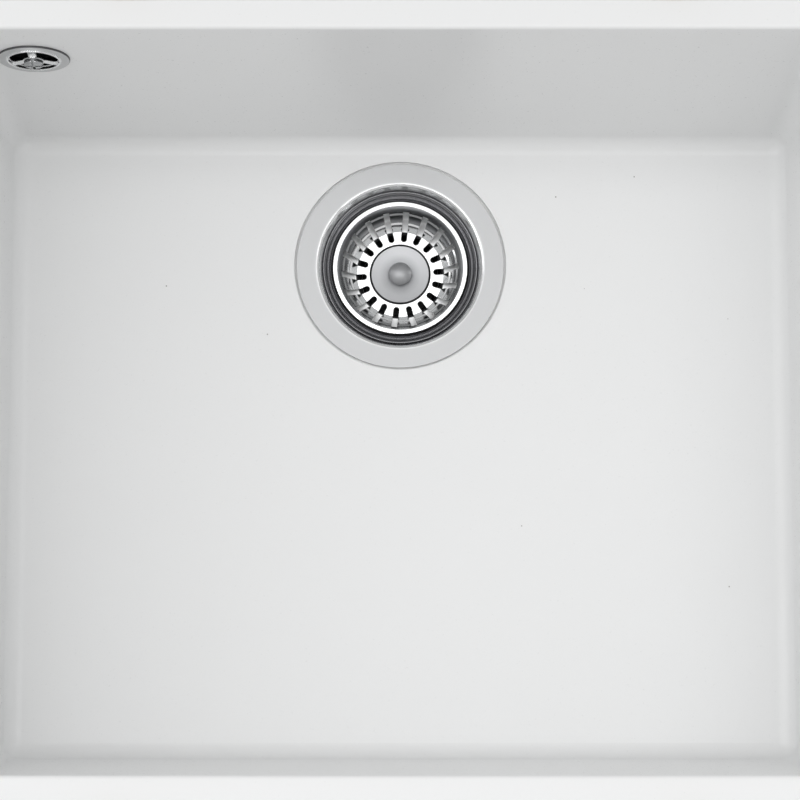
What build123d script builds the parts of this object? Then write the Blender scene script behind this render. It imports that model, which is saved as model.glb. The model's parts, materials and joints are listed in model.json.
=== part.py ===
"""Undermount kitchen sink: a white composite bowl with its basket strainer waste, its overflow
and the clips that hold it under a worktop.

Millimetres, +Z up, +X to the right, +Y towards the rear wall, which carries the overflow. The
origin is the middle of the bowl's opening, in the plane where the rim meets the worktop.
"""

from build123d import *
from math import cos, radians, sin, tan
import os

os.makedirs("parts", exist_ok=True)

# ---- bowl -------------------------------------------------------------------------------------
bowl_length = 492  # inside, left to right, at the rim
bowl_width = 400  # inside, front to rear, at the rim
bowl_depth = 190  # from the rim down to the waste
wall_draft = 4  # degrees, each wall leans in towards the floor
wall_thickness = 8
floor_thickness = 10
floor_fall = 0.008  # the floor runs down to the rear, this much for each millimetre
corner_radius = 22.6  # upright corners, at the rim
floor_radius = 10  # where the walls meet the floor
rim_side = 15
rim_rear = 16
rim_front = 14
rim_thickness = 12
rim_corner_radius = 18
rim_inner_edge = 2
rim_outer_edge = 1
rim_root_radius = 2  # under the rim, where it meets the wall

# ---- waste hole -------------------------------------------------------------------------------
waste_hole_radius = 45
waste_margin = 4.7  # floor left flat between the strainer's flange and the rear wall's radius
boss_depth = 6  # the thick ring under the floor, round the waste hole
boss_radius = 64
hole_gap = 1.5  # between the flange's edge and the recess that it lies in

# ---- strainer cup -----------------------------------------------------------------------------
flange_radius = 62.5
flange_seal = 1.2  # thickness of the seal below the flange
cup_sheet = 0.8
funnel_radius = 49.5  # where the flange turns down
funnel_drop = 5
funnel_slope = 3  # how much narrower the funnel is at its foot
step_width = 0.6
funnel_bend = 2.2
collar_drop = 7.2  # a second step, between the funnel and the basket's seat
collar_width = 2.6  # from the basket's seat out to the second step
basket_seat_drop = 9
seat_width = 2.4  # the ledge that carries the basket's rim
cup_mouth_radius = 39
cup_draft = 2  # narrower at the shelf
cup_bend = 3  # between the cup's wall and its shelf
shelf_gap = 2.2  # below the basket's floor, the cup steps in to its neck here
neck_gap = 1.4  # round the stopper's seal, in the neck
neck_bend = 1
well_radius = 13  # sunk middle of the cup, for the head of the fixing screw
well_depth = 7
drain_hole_count = 8
drain_hole_radius = 4
drain_hole_circle = 18.5

# ---- basket -----------------------------------------------------------------------------------
basket_sheet = 0.6
basket_gap = 0.4  # between the basket's rim and the ledge that it is set down on
basket_side_gap = 0.8  # round the basket's rim
basket_rim_width = 2.4
basket_rim_height = 2.4
basket_depth = 27  # floor of the basket below the flange
basket_floor_radius = 26.5
basket_flights = 3  # the wall comes down in so many flights, with a narrow ledge between them
basket_ledge_width = 1.1
basket_ledge_fall = 0.5
slot_count = 18
slot_width = 3.6
slot_start = 20.4  # radius of the slots' inner ends
slot_top_drop = 11.5  # the slots end this far below the flange
slot_phase = 4  # degrees
dish_radius = 18.7  # sunk middle of the basket, under the cap
dish_depth = 2.5

# ---- stopper ----------------------------------------------------------------------------------
stopper_travel = 7
cap_radius = 17.8
cap_sheet = 0.8
cap_dish = 0.8  # the cap's middle is lower than its edge
knob_radius = 6.9
knob_height = 6.5
knob_neck_radius = 4.6
knob_neck = 1.4
knob_edge = 1  # upright band below the knob's dome
knob_bore = 4
stem_radius = 2.5
stem_gap = 0.3
stem_shoulder = 1.5
stem_shoulder_radius = 3.6
stem_tail = 0.6  # stem left below its clip
detent_groove = 0.4  # depth of the two rings in the stem that the spring drops into
stopper_plate_radius = 18
stopper_plate_sheet = 1.5
stopper_seal_radius = 23.6
stopper_seal_thickness = 2.5
seat_gap = 0.3  # between the closed seal and the cup
stem_clip_radius = 5
stem_clip_thickness = 1
bush_flange_radius = 7.5
bush_barrel_radius = 5
bush_flange = 0.8
bush_skirt = 3.4  # how far the bush reaches below the basket
bush_skirt_radius = 6
bush_room = 1.2  # beyond the stem, where the bush holds the spring
bush_gap = 0.5
detent_wire_radius = 0.5
detent_ring_radius = 3.3
detent_ring_arc = 300  # degrees, the spring is open for the rest

# ---- waste body -------------------------------------------------------------------------------
waste_gasket_thickness = 4
waste_gasket_radius = 60
body_radius = 48
body_wall = 3.4
body_flange_radius = 58
body_flange_thickness = 4
body_straight = 30  # height of the body's cylinder
body_cone = 22
outlet_radius = 23.9  # outside of the outlet's thread, for an inch and a half
outlet_bore_radius = 20.5
outlet_length = 23
hub_radius = 9
hub_height = 15
spider_rib = 3
spider_rib_count = 3
spider_rib_inset = 1  # the ribs start inside the hub and just below its top
waste_nut_radius = 6
waste_nut_height = 8
fixing_screw_radius = 4
fixing_head_radius = 7.5
fixing_head_height = 4.5
fixing_head_edge = 1.5
fixing_socket_radius = 3.5
fixing_socket_depth = 3
screw_gap = 0.5
inlet_drop = 38  # height of the overflow's inlet, below the floor

# ---- overflow ---------------------------------------------------------------------------------
overflow_side = 42.7  # from the left wall, at the rim, to the overflow's middle
overflow_drop = 46
overflow_hole_radius = 15
rosette_radius = 20
rosette_opening_radius = 14
rosette_thickness = 1.2
rosette_web = 1
rosette_lip = 1.8  # height of the ring round the openings
rosette_hub_radius = 6
rosette_hub_height = 2
rosette_spoke = 4.4
rosette_spoke_count = 3
rosette_collar_depth = 4
rosette_collar_wall = 1
rosette_gap = 0.3  # round the collar, in the wall's hole
overflow_screw_radius = 2.5
overflow_head_radius = 5.4
overflow_head_height = 2.8
overflow_head_edge = 1.2
overflow_head_slot = 1.5  # width and depth of its cross
overflow_gasket_thickness = 3
elbow_flange_radius = 21.5
elbow_flange_thickness = 3
elbow_radius = 18
elbow_wall = 3
elbow_depth = 30  # from the gasket to the housing's back
elbow_post_radius = 6
elbow_post_length = 14
overflow_nut_radius = 4
overflow_nut_length = 10
elbow_spout = 36  # from the housing's axis down to the end of its spout

# ---- overflow hose ----------------------------------------------------------------------------
spigot_radius = 12  # outside of the thread on both spouts
spigot_bore_radius = 8.5
spigot_length = 30  # from the waste body's wall to the end of its spout
hose_seal = 2
hose_bore_radius = 8.2
hose_cuff_radius = 10.2
hose_valley_radius = 9.4
hose_crest_radius = 11
hose_collar_radius = 11.6
hose_collar = 2
hose_collar_end = 3  # the collar has run out to the plain cuff here
hose_bend = 48  # radius of both bends, at the hose's middle
hose_cuff = 22  # plain length at each end
hose_rib_count = 40
hose_rib_rise = 0.05  # share of a rib's pitch where it starts to rise from the valley
hose_rib_crest = 0.35  # and where it reaches its crest
hose_nut_radius = 16
hose_nut_lip = 2.5
hose_nut_gap = 0.3
hose_nut_grip = 10  # how much of the spout's thread each nut covers
hose_nut_flutes = 12
hose_nut_flute_radius = 2

# ---- clips ------------------------------------------------------------------------------------
clip_spacing = 300  # between the clips of the front and of the rear
stud_radius = 3
stud_hole_radius = 3.4
stud_slot = 4  # how far the stud can shift along the bracket's slot
stud_tail = 5  # stud left below the nut
anchor_radius = 5
anchor_length = 14
anchor_thread = 6.5  # how far the stud screws into its anchor, which is closed above
toe_reach = 20.5  # from the stud to the rounded toe under the rim
toe_gap = 2  # between the toe and the bowl's wall
bracket_width = 24
bracket_thickness = 2.5
bracket_heel = 12  # from the stud to the outer face of the heel
bracket_bend = 2.5
clip_gap = 0.3
washer_radius = 9
washer_thickness = 1.2
nut_radius = 5.5
nut_height = 6
nut_draft = 6  # degrees
wing_span = 14
wing_lug = 8.4  # from the stud to the inner end of the wing's foot
wing_height = 9
wing_thickness = 2.2
wing_edge = 0.8

# ---- places worked out from the sizes ---------------------------------------------------------
wall_slope = tan(radians(wall_draft))
waste_y = (
    bowl_width / 2 - bowl_depth * wall_slope - floor_radius - waste_margin - flange_radius
)
waste_axis = Axis((0, waste_y, 0), (0, 0, 1))
flange_z = -bowl_depth - floor_fall * flange_radius  # flush with the floor behind the waste
floor_under_z = -bowl_depth - floor_thickness
boss_z = floor_under_z - boss_depth

basket_floor_z = flange_z - basket_depth
dish_z = basket_floor_z - dish_depth
bush_foot_z = dish_z - basket_sheet - bush_skirt
plate_top_z = bush_foot_z - bush_gap - stopper_travel - stem_shoulder
seal_top_z = plate_top_z - stopper_plate_sheet
seal_foot_z = seal_top_z - stopper_seal_thickness
cup_floor_z = seal_foot_z - seat_gap
seat_radius = cup_mouth_radius + seat_width
basket_rim_radius = seat_radius - basket_side_gap
shelf_z = basket_floor_z - basket_sheet - shelf_gap
neck_radius = stopper_seal_radius + neck_gap
well_z = cup_floor_z - well_depth
recess_radius = flange_radius + hole_gap
recess_z = flange_z - cup_sheet - flange_seal
recess_top_z = -bowl_depth + floor_thickness
hole_mouth_radius = funnel_radius + 2 * cup_sheet + hole_gap
body_top_z = boss_z - waste_gasket_thickness
inlet_z = -bowl_depth - inlet_drop


def waste_level(z):
    """A level plane on the waste's axis."""
    return Plane(origin=(0, waste_y, z), x_dir=(1, 0, 0), z_dir=(0, 0, 1))


def waste_section(angle=0):
    """An upright half plane from the waste's axis: radius first, then height."""
    across = (cos(radians(angle)), sin(radians(angle)), 0)
    normal = (sin(radians(angle)), -cos(radians(angle)), 0)
    return Plane(origin=(0, waste_y, 0), x_dir=across, z_dir=normal)


overflow_x = overflow_side - bowl_length / 2
wall_point = (overflow_x, bowl_width / 2 - overflow_drop * wall_slope, -overflow_drop)
wall_normal = (0, -cos(radians(wall_draft)), sin(radians(wall_draft)))
overflow_wall = wall_thickness * cos(radians(wall_draft))


def overflow_plane(depth=0):
    """A plane along the rear wall at the overflow, this far behind the wall's inner face."""
    return Plane(origin=wall_point, x_dir=(1, 0, 0), z_dir=wall_normal).offset(-depth)


# ---- bowl -------------------------------------------------------------------------------------
with BuildPart() as bowl_space:  # the room inside the bowl, cut from the casting below
    with BuildSketch(Plane.XY):
        RectangleRounded(bowl_length, bowl_width, corner_radius)
    extrude(amount=floor_under_z, taper=wall_draft)
    floor_plane = Plane(
        origin=(0, waste_y, -bowl_depth), x_dir=(1, 0, 0), z_dir=(0, floor_fall, 1)
    )
    split(bisect_by=floor_plane, keep=Keep.TOP)
    bowl_floor = bowl_space.faces().sort_by(Axis.Z)[0]
    fillet(bowl_floor.edges(), radius=floor_radius)

with BuildPart() as sink_bowl:
    with BuildSketch(Plane.XY):
        RectangleRounded(
            bowl_length + 2 * wall_thickness,
            bowl_width + 2 * wall_thickness,
            corner_radius + wall_thickness,
        )
    extrude(amount=floor_under_z, taper=wall_draft)
    underside = sink_bowl.faces().sort_by(Axis.Z)[0]
    fillet(underside.edges(), radius=floor_radius + wall_thickness)
    with BuildSketch(Plane.XY):
        with Locations((0, (rim_rear - rim_front) / 2)):
            RectangleRounded(
                bowl_length + 2 * rim_side,
                bowl_width + rim_rear + rim_front,
                rim_corner_radius,
            )
    extrude(amount=-rim_thickness)
    ledge = sink_bowl.faces().filter_by(Axis.Z).group_by(Axis.Z)[-2][0]
    fillet(ledge.inner_wires()[0].edges(), radius=rim_root_radius)
    with BuildSketch(waste_level(boss_z)):
        Circle(boss_radius)
    extrude(amount=boss_depth + floor_thickness / 2)
    add(bowl_space.part, mode=Mode.SUBTRACT)
    rim_face = sink_bowl.faces().sort_by(Axis.Z)[-1]
    fillet(rim_face.inner_wires()[0].edges(), radius=rim_inner_edge)
    rim_face = sink_bowl.faces().sort_by(Axis.Z)[-1]
    fillet(rim_face.outer_wire().edges(), radius=rim_outer_edge)
    with BuildSketch(waste_section()):  # the waste hole, with the recess for the flange
        with BuildLine():
            Polyline(
                (0, recess_top_z),
                (recess_radius, recess_top_z),
                (recess_radius, recess_z),
                (hole_mouth_radius, recess_z),
                (waste_hole_radius, flange_z - basket_seat_drop - cup_sheet),
                (waste_hole_radius, boss_z - floor_thickness),
                (0, boss_z - floor_thickness),
                close=True,
            )
        make_face()
    revolve(axis=waste_axis, mode=Mode.SUBTRACT)
    with BuildSketch(overflow_plane(-wall_thickness)):
        Circle(overflow_hole_radius)
    extrude(amount=-3 * wall_thickness, mode=Mode.SUBTRACT)
sink_bowl.part.label = "sink_bowl"
export_step(sink_bowl.part, "parts/sink_bowl.step")

# ---- strainer cup and its seals ---------------------------------------------------------------
cup_line = [
    (flange_radius, flange_z),
    (funnel_radius, flange_z),
    (funnel_radius - funnel_slope, flange_z - funnel_drop),
    (funnel_radius - funnel_slope - step_width, flange_z - funnel_drop),
    (seat_radius + collar_width, flange_z - collar_drop),
    (seat_radius + collar_width - step_width, flange_z - collar_drop),
    (seat_radius, flange_z - basket_seat_drop),
    (cup_mouth_radius, flange_z - basket_seat_drop),
    (cup_mouth_radius - cup_draft, shelf_z),
    (neck_radius, shelf_z),
    (neck_radius, cup_floor_z),
    (well_radius, cup_floor_z),
    (well_radius - cup_draft, well_z),
    (fixing_screw_radius + screw_gap, well_z),
]
cup_bends = [funnel_bend, 0, 0, 0, 0, 0, 0, cup_bend, neck_bend, 0, 0, 0]

with BuildPart() as strainer_cup:
    with BuildSketch(waste_section()):
        with BuildLine():
            FilletPolyline(*cup_line, radius=cup_bends)
            offset(amount=cup_sheet, side=Side.LEFT)
        make_face()
    revolve(axis=waste_axis)
    with BuildSketch(waste_level(well_z)):
        with PolarLocations(drain_hole_circle, drain_hole_count):
            Circle(drain_hole_radius)
    extrude(amount=well_depth + 2 * cup_sheet, mode=Mode.SUBTRACT)
strainer_cup.part.label = "strainer_cup"
export_step(strainer_cup.part, "parts/strainer_cup.step")

with BuildPart() as flange_gasket:
    with BuildSketch(waste_level(recess_z)):
        Circle(flange_radius - hole_gap)
        Circle(hole_mouth_radius, mode=Mode.SUBTRACT)
    extrude(amount=flange_seal)
flange_gasket.part.label = "flange_gasket"
export_step(flange_gasket.part, "parts/flange_gasket.step")

with BuildPart() as waste_gasket:
    with BuildSketch(waste_level(body_top_z)):
        Circle(waste_gasket_radius)
        Circle(waste_hole_radius, mode=Mode.SUBTRACT)
    extrude(amount=waste_gasket_thickness)
waste_gasket.part.label = "waste_gasket"
export_step(waste_gasket.part, "parts/waste_gasket.step")

# ---- basket -----------------------------------------------------------------------------------
rim_foot_z = flange_z - basket_seat_drop + basket_gap
rim_top_z = rim_foot_z + basket_rim_height
basket_wall_radius = basket_rim_radius - basket_rim_width
ledge_count = basket_flights - 1
wall_drop = rim_top_z - basket_floor_z
wall_lean = basket_wall_radius - basket_floor_radius
flight_drop = (wall_drop - ledge_count * basket_ledge_fall) / basket_flights
flight_lean = (wall_lean - ledge_count * basket_ledge_width) / basket_flights

basket_line = [(basket_rim_radius, rim_foot_z), (basket_rim_radius, rim_top_z)]
for flight in range(basket_flights):
    flight_radius = basket_wall_radius - flight * (flight_lean + basket_ledge_width)
    flight_z = rim_top_z - flight * (flight_drop + basket_ledge_fall)
    basket_line.append((flight_radius, flight_z))
    basket_line.append((flight_radius - flight_lean, flight_z - flight_drop))
basket_line.append((dish_radius, basket_floor_z))
basket_line.append((dish_radius - basket_sheet, dish_z))
basket_line.append((bush_barrel_radius, dish_z))

with BuildPart() as strainer_basket:
    with BuildSketch(waste_section()):
        with BuildLine():
            Polyline(*basket_line)
            offset(amount=basket_sheet, side=Side.LEFT, kind=Kind.INTERSECTION)
        make_face()
    revolve(axis=waste_axis)
    slot_reach = basket_rim_radius - slot_start
    with BuildSketch(waste_level(dish_z)):
        with PolarLocations(slot_start + slot_reach / 2, slot_count, start_angle=slot_phase):
            SlotOverall(slot_reach, slot_width)
    extrude(amount=flange_z - slot_top_drop - dish_z, mode=Mode.SUBTRACT)
strainer_basket.part.label = "strainer_basket"
export_step(strainer_basket.part, "parts/strainer_basket.step")

bush_bore_radius = stem_radius + stem_gap
bush_under_z = dish_z - basket_sheet
detent_z = (bush_under_z - bush_flange + bush_foot_z) / 2

with BuildPart() as hub_bush:
    with BuildSketch(waste_section()):
        with BuildLine():
            Polyline(
                (bush_bore_radius, dish_z + bush_flange),
                (bush_flange_radius, dish_z + bush_flange),
                (bush_flange_radius, dish_z),
                (bush_barrel_radius, dish_z),
                (bush_barrel_radius, bush_under_z),
                (bush_flange_radius, bush_under_z),
                (bush_flange_radius, bush_under_z - bush_flange),
                (bush_skirt_radius, bush_under_z - bush_flange),
                (bush_skirt_radius, bush_foot_z),
                (bush_bore_radius, bush_foot_z),
                close=True,
            )
        make_face()
        with Locations((bush_bore_radius + bush_room / 2, detent_z)):
            Rectangle(bush_room, 4 * detent_wire_radius, mode=Mode.SUBTRACT)
    revolve(axis=waste_axis)
hub_bush.part.label = "hub_bush"
export_step(hub_bush.part, "parts/hub_bush.step")

with BuildPart() as detent_spring:
    with BuildSketch(waste_section()):
        with Locations((detent_ring_radius, detent_z)):
            Circle(detent_wire_radius)
    revolve(axis=waste_axis, revolution_arc=detent_ring_arc)
detent_spring.part.label = "detent_spring"
export_step(detent_spring.part, "parts/detent_spring.step")

# ---- stopper: cap, knob, stem, plate, seal and clip -------------------------------------------
cap_middle_z = dish_z + bush_flange + bush_gap + cap_sheet

with BuildPart() as basket_cap:
    with BuildSketch(waste_section()):
        with BuildLine():
            FilletPolyline(
                (cap_radius, cap_middle_z + cap_dish),
                (knob_radius, cap_middle_z),
                (stem_radius, cap_middle_z),
                radius=knob_radius,
            )
            offset(amount=cap_sheet, side=Side.LEFT)
        make_face()
    revolve(axis=waste_axis)
basket_cap.part.label = "basket_cap"
export_step(basket_cap.part, "parts/basket_cap.step")

knob_band_z = cap_middle_z + knob_neck + (knob_radius - knob_neck_radius) / 2
knob_shoulder_z = knob_band_z + knob_edge
knob_top_z = cap_middle_z + knob_height
knob_rise = knob_top_z - knob_shoulder_z
dome_radius = (knob_radius**2 + knob_rise**2) / (2 * knob_rise)

with BuildPart() as lift_knob:
    with BuildSketch(waste_section()):
        with BuildLine():
            Polyline(
                (0, knob_top_z),
                (0, cap_middle_z + knob_bore),
                (stem_radius, cap_middle_z + knob_bore),
                (stem_radius, cap_middle_z),
                (knob_neck_radius, cap_middle_z),
                (knob_neck_radius, cap_middle_z + knob_neck),
                (knob_radius, knob_band_z),
                (knob_radius, knob_shoulder_z),
            )
            RadiusArc((knob_radius, knob_shoulder_z), (0, knob_top_z), -dome_radius)
        make_face()
    revolve(axis=waste_axis)
lift_knob.part.label = "lift_knob"
export_step(lift_knob.part, "parts/lift_knob.step")

stem_foot_z = seal_foot_z - stem_clip_thickness - stem_tail

with BuildPart() as stopper_stem:
    with BuildSketch(waste_level(stem_foot_z)):
        Circle(stem_radius)
    extrude(amount=cap_middle_z + knob_bore - stem_foot_z)
    with BuildSketch(waste_level(plate_top_z)):
        Circle(stem_shoulder_radius)
    extrude(amount=stem_shoulder)
    with BuildSketch(waste_section()):
        with Locations((stem_radius, detent_z), (stem_radius, detent_z - stopper_travel)):
            RegularPolygon(detent_groove, 4)
    revolve(axis=waste_axis, mode=Mode.SUBTRACT)
stopper_stem.part.label = "stopper_stem"
export_step(stopper_stem.part, "parts/stopper_stem.step")

with BuildPart() as stopper_plate:
    with BuildSketch(waste_level(seal_top_z)):
        Circle(stopper_plate_radius)
        Circle(stem_radius, mode=Mode.SUBTRACT)
    extrude(amount=stopper_plate_sheet)
    plate_rim = stopper_plate.edges().filter_by(GeomType.CIRCLE).sort_by(SortBy.RADIUS)[-2:]
    fillet(plate_rim.sort_by(Axis.Z)[-1], radius=stopper_plate_sheet / 2)
stopper_plate.part.label = "stopper_plate"
export_step(stopper_plate.part, "parts/stopper_plate.step")

with BuildPart() as stopper_seal:
    with BuildSketch(waste_section()):
        seal_edge_z = (seal_top_z + seal_foot_z) / 2
        with BuildLine():
            Polyline(
                (stem_radius, seal_top_z),
                (stopper_seal_radius - stopper_seal_thickness / 2, seal_top_z),
                (stopper_seal_radius, seal_edge_z),
                (stopper_seal_radius - stopper_seal_thickness / 2, seal_foot_z),
                (stem_radius, seal_foot_z),
                close=True,
            )
        make_face()
    revolve(axis=waste_axis)
stopper_seal.part.label = "stopper_seal"
export_step(stopper_seal.part, "parts/stopper_seal.step")

with BuildPart() as stem_clip:
    with BuildSketch(waste_level(seal_foot_z - stem_clip_thickness)):
        Circle(stem_clip_radius)
        Circle(stem_radius, mode=Mode.SUBTRACT)
        with Locations((stem_clip_radius, 0)):
            Rectangle(2 * stem_clip_radius, stem_radius, mode=Mode.SUBTRACT)
    extrude(amount=stem_clip_thickness)
stem_clip.part.label = "stem_clip"
export_step(stem_clip.part, "parts/stem_clip.step")

# ---- waste body, its nut and the fixing screw -------------------------------------------------
body_inner_radius = body_radius - body_wall
body_knee_z = body_top_z - body_straight
outlet_top_z = body_knee_z - body_cone
outlet_z = outlet_top_z - outlet_length
hub_top_z = well_z - cup_sheet
hub_foot_z = hub_top_z - hub_height
rib_top_z = hub_top_z - spider_rib_inset
rib_start_radius = fixing_screw_radius + screw_gap + spider_rib_inset
cone_slope = (body_inner_radius - outlet_bore_radius) / body_cone


def cone_radius(z):
    """Radius of the waste body's cone at this height, in the middle of its wall."""
    return body_inner_radius - (body_knee_z - z) * cone_slope + body_wall / 2


inlet_plane = Plane(
    origin=(-body_inner_radius - body_wall / 2, waste_y, inlet_z),
    x_dir=(0, 1, 0),
    z_dir=(-1, 0, 0),
)

with BuildPart() as waste_body:
    with BuildSketch(waste_section()):
        with BuildLine():
            Polyline(
                (body_inner_radius, body_top_z),
                (body_flange_radius, body_top_z),
                (body_flange_radius, body_top_z - body_flange_thickness),
                (body_radius, body_top_z - body_flange_thickness),
                (body_radius, body_knee_z),
                (outlet_radius, outlet_top_z),
                (outlet_radius, outlet_z),
                (outlet_bore_radius, outlet_z),
                (outlet_bore_radius, outlet_top_z),
                (body_inner_radius, body_knee_z),
                close=True,
            )
        make_face()
    revolve(axis=waste_axis)
    with BuildSketch(inlet_plane):
        Circle(spigot_radius)
    extrude(amount=spigot_length + body_wall / 2)
    with BuildSketch(inlet_plane.offset(-body_wall)):
        Circle(spigot_bore_radius)
    extrude(amount=spigot_length + 2 * body_wall, mode=Mode.SUBTRACT)
    with BuildSketch(waste_level(hub_foot_z)):
        Circle(hub_radius)
    extrude(amount=hub_height)
    for rib in range(spider_rib_count):
        with BuildSketch(waste_section(90 + rib * 360 / spider_rib_count)):
            with BuildLine():
                Polyline(
                    (rib_start_radius, rib_top_z),
                    (cone_radius(rib_top_z), rib_top_z),
                    (cone_radius(hub_foot_z), hub_foot_z),
                    (rib_start_radius, hub_foot_z),
                    close=True,
                )
            make_face()
        extrude(amount=spider_rib / 2, both=True)
    with BuildSketch(waste_level(hub_foot_z)):
        Circle(fixing_screw_radius + screw_gap)
    extrude(amount=hub_height, mode=Mode.SUBTRACT)
    with BuildSketch(waste_level(hub_foot_z)):
        Circle(waste_nut_radius)
    extrude(amount=waste_nut_height, mode=Mode.SUBTRACT)
waste_body.part.label = "waste_body"
export_step(waste_body.part, "parts/waste_body.step")

with BuildPart() as waste_nut:
    with BuildSketch(waste_level(hub_foot_z)):
        Circle(waste_nut_radius)
        Circle(fixing_screw_radius, mode=Mode.SUBTRACT)
    extrude(amount=waste_nut_height)
waste_nut.part.label = "waste_nut"
export_step(waste_nut.part, "parts/waste_nut.step")

with BuildPart() as fixing_screw:
    with BuildSketch(waste_level(well_z)):
        Circle(fixing_head_radius)
    extrude(amount=fixing_head_height)
    head_rim = fixing_screw.edges().sort_by(Axis.Z)[-1]
    fillet(head_rim, radius=fixing_head_edge)
    with BuildSketch(waste_level(well_z + fixing_head_height)):
        RegularPolygon(fixing_socket_radius, 6)
    extrude(amount=-fixing_socket_depth, mode=Mode.SUBTRACT)
    with BuildSketch(waste_level(hub_foot_z)):
        Circle(fixing_screw_radius)
    extrude(amount=well_z - hub_foot_z)
fixing_screw.part.label = "fixing_screw"
export_step(fixing_screw.part, "parts/fixing_screw.step")

# ---- overflow ---------------------------------------------------------------------------------
with BuildPart() as overflow_rosette:
    with BuildSketch(overflow_plane()):
        Circle(rosette_radius)
        Circle(rosette_opening_radius, mode=Mode.SUBTRACT)
    extrude(amount=rosette_thickness)
    rosette_rims = overflow_rosette.edges().filter_by(GeomType.CIRCLE)
    outer_rims = rosette_rims.sort_by(SortBy.RADIUS)[-2:]
    fillet(outer_rims.sort_by(Axis.Y)[0], radius=rosette_thickness / 2)
    with BuildSketch(overflow_plane()):
        Circle(rosette_opening_radius + rosette_collar_wall)
        Circle(rosette_opening_radius, mode=Mode.SUBTRACT)
    extrude(amount=rosette_lip)
    with BuildSketch(overflow_plane()):
        Circle(rosette_hub_radius)
    extrude(amount=rosette_hub_height)
    with BuildSketch(overflow_plane()):
        with PolarLocations(rosette_opening_radius / 2, rosette_spoke_count, start_angle=90):
            Rectangle(rosette_opening_radius, rosette_spoke)
    extrude(amount=rosette_web)
    with BuildSketch(overflow_plane()):
        Circle(overflow_hole_radius - rosette_gap)
        Circle(overflow_hole_radius - rosette_gap - rosette_collar_wall, mode=Mode.SUBTRACT)
    extrude(amount=-rosette_collar_depth)
    with BuildSketch(overflow_plane(-rosette_hub_height)):
        Circle(overflow_screw_radius)
    extrude(amount=-rosette_hub_height, mode=Mode.SUBTRACT)
overflow_rosette.part.label = "overflow_rosette"
export_step(overflow_rosette.part, "parts/overflow_rosette.step")

elbow_front = overflow_wall + overflow_gasket_thickness
elbow_middle = elbow_front + elbow_depth / 2
elbow_post_front = elbow_front + elbow_depth - elbow_wall - elbow_post_length
overflow_nut_back = elbow_post_front + overflow_nut_length

with BuildPart() as overflow_gasket:
    with BuildSketch(overflow_plane(overflow_wall)):
        Circle(elbow_flange_radius)
        Circle(elbow_radius - elbow_wall, mode=Mode.SUBTRACT)
    extrude(amount=-overflow_gasket_thickness)
overflow_gasket.part.label = "overflow_gasket"
export_step(overflow_gasket.part, "parts/overflow_gasket.step")

spout_top = overflow_plane(elbow_middle).origin
spout_plane = Plane(origin=spout_top, x_dir=(1, 0, 0), z_dir=(0, 0, -1))

with BuildPart() as overflow_elbow:
    with BuildSketch(overflow_plane(elbow_front)):
        Circle(elbow_flange_radius)
    extrude(amount=-elbow_flange_thickness)
    with BuildSketch(overflow_plane(elbow_front)):
        Circle(elbow_radius)
    extrude(amount=-elbow_depth)
    back_rim = overflow_elbow.edges().filter_by(GeomType.CIRCLE).sort_by(Axis.Y)[-1]
    fillet(back_rim, radius=elbow_wall)
    with BuildSketch(spout_plane):
        Circle(spigot_radius)
    extrude(amount=elbow_spout)
    with BuildSketch(overflow_plane(elbow_front)):
        Circle(elbow_radius - elbow_wall)
    extrude(amount=-elbow_depth + elbow_wall, mode=Mode.SUBTRACT)
    with BuildSketch(spout_plane):
        Circle(spigot_bore_radius)
    extrude(amount=elbow_spout, mode=Mode.SUBTRACT)
    with BuildSketch(overflow_plane(elbow_post_front)):
        Circle(elbow_post_radius)
    extrude(amount=-elbow_post_length - elbow_wall / 2)
    with BuildSketch(overflow_plane(elbow_post_front)):
        Circle(overflow_nut_radius)
    extrude(amount=-overflow_nut_length, mode=Mode.SUBTRACT)
overflow_elbow.part.label = "overflow_elbow"
export_step(overflow_elbow.part, "parts/overflow_elbow.step")

with BuildPart() as overflow_nut:
    with BuildSketch(overflow_plane(elbow_post_front)):
        Circle(overflow_nut_radius)
        Circle(overflow_screw_radius, mode=Mode.SUBTRACT)
    extrude(amount=-overflow_nut_length)
overflow_nut.part.label = "overflow_nut"
export_step(overflow_nut.part, "parts/overflow_nut.step")

with BuildPart() as overflow_screw:
    head_plane = overflow_plane(-rosette_hub_height)
    with BuildSketch(head_plane):
        Circle(overflow_head_radius)
    extrude(amount=overflow_head_height)
    head_rim = overflow_screw.edges().filter_by(GeomType.CIRCLE).sort_by(Axis.Y)[0]
    fillet(head_rim, radius=overflow_head_edge)
    with BuildSketch(head_plane.offset(overflow_head_height)):
        Rectangle(2 * overflow_head_radius, overflow_head_slot)
        Rectangle(overflow_head_slot, 2 * overflow_head_radius)
    extrude(amount=-overflow_head_slot, mode=Mode.SUBTRACT)
    with BuildSketch(head_plane):
        Circle(overflow_screw_radius)
    extrude(amount=-rosette_hub_height - overflow_nut_back)
overflow_screw.part.label = "overflow_screw"
export_step(overflow_screw.part, "parts/overflow_screw.step")

# ---- overflow hose with its seals and union nuts ----------------------------------------------
upper_end = spout_plane.offset(elbow_spout)
lower_end = inlet_plane.offset(spigot_length + body_wall / 2)
hose_start = upper_end.offset(hose_seal).origin
hose_finish = lower_end.offset(hose_seal).origin

with BuildLine() as hose_path:  # down behind the bowl, forward under it and across to the waste
    FilletPolyline(
        hose_start,
        (hose_start.X, hose_start.Y, inlet_z),
        (hose_start.X, waste_y, inlet_z),
        hose_finish,
        radius=hose_bend,
    )
hose_wire = hose_path.wire()
hose_length = hose_wire.length
upright = 0.001  # a direction with less than this in X and Y runs straight down


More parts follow.
